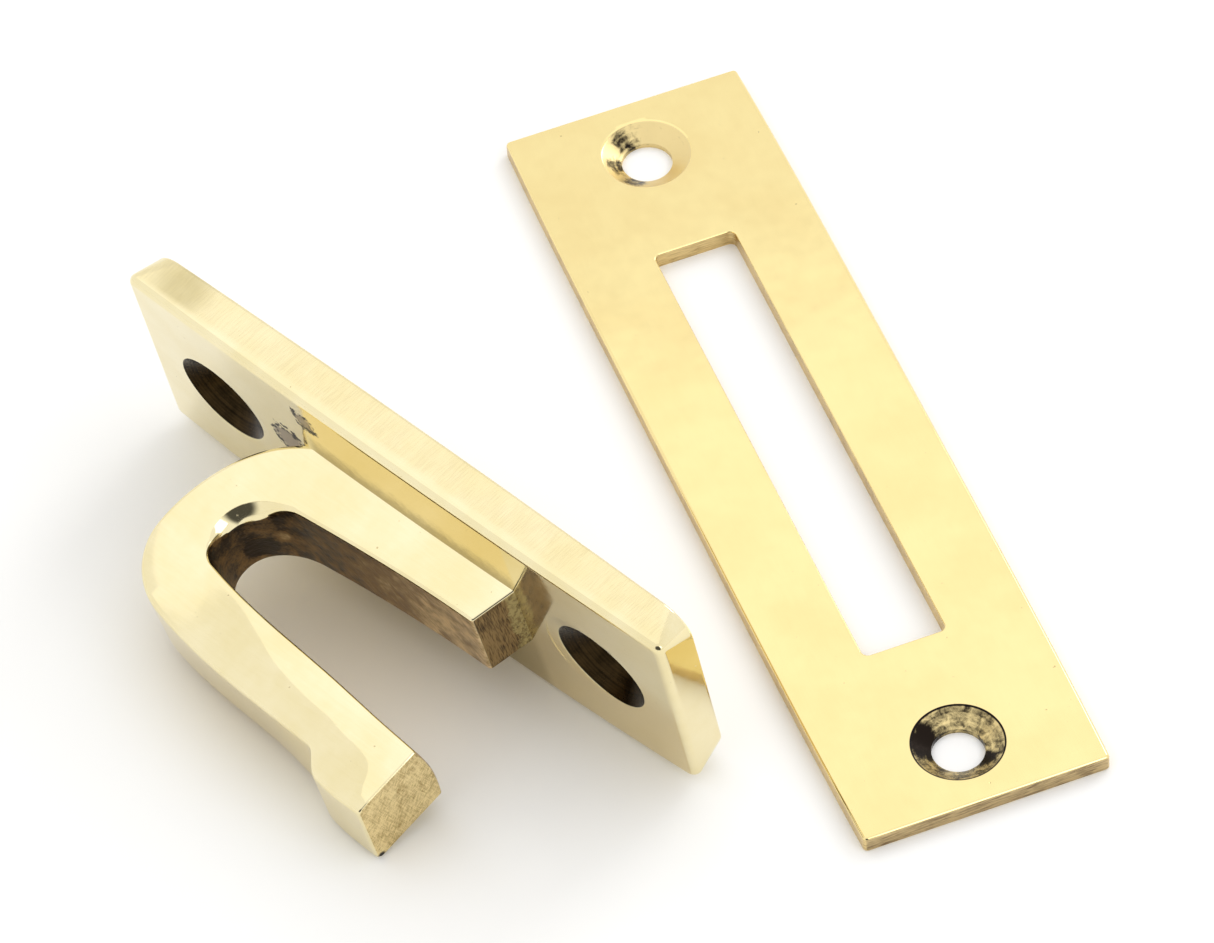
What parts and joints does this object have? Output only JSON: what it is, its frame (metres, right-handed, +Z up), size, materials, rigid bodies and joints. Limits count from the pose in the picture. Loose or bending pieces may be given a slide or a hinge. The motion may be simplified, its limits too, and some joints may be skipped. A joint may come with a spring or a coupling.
{
  "type": "casement window fastener keeps",
  "caption": "Polished brass hook plate and slotted mortice plate, the keeps that a casement window fastener closes into.",
  "frame": {"origin": "under the middle of the box around both pieces, on the surface that they stand on", "axes": "+Y along the mortice plate's length, +X across it from the hook plate to the mortice plate, +Z up out of its face"},
  "size_m": [0.0684, 0.0826, 0.0239],
  "materials": {
    "hook_plate_brass": "hand-polished casting with ground ends",
    "mortice_plate_brass": "polished sheet with rounded edges"
  },
  "bodies": {
    "root": {"hook_plate": "hook_plate_brass", "mortice_plate": "mortice_plate_brass"}
  },
  "joints": []
}
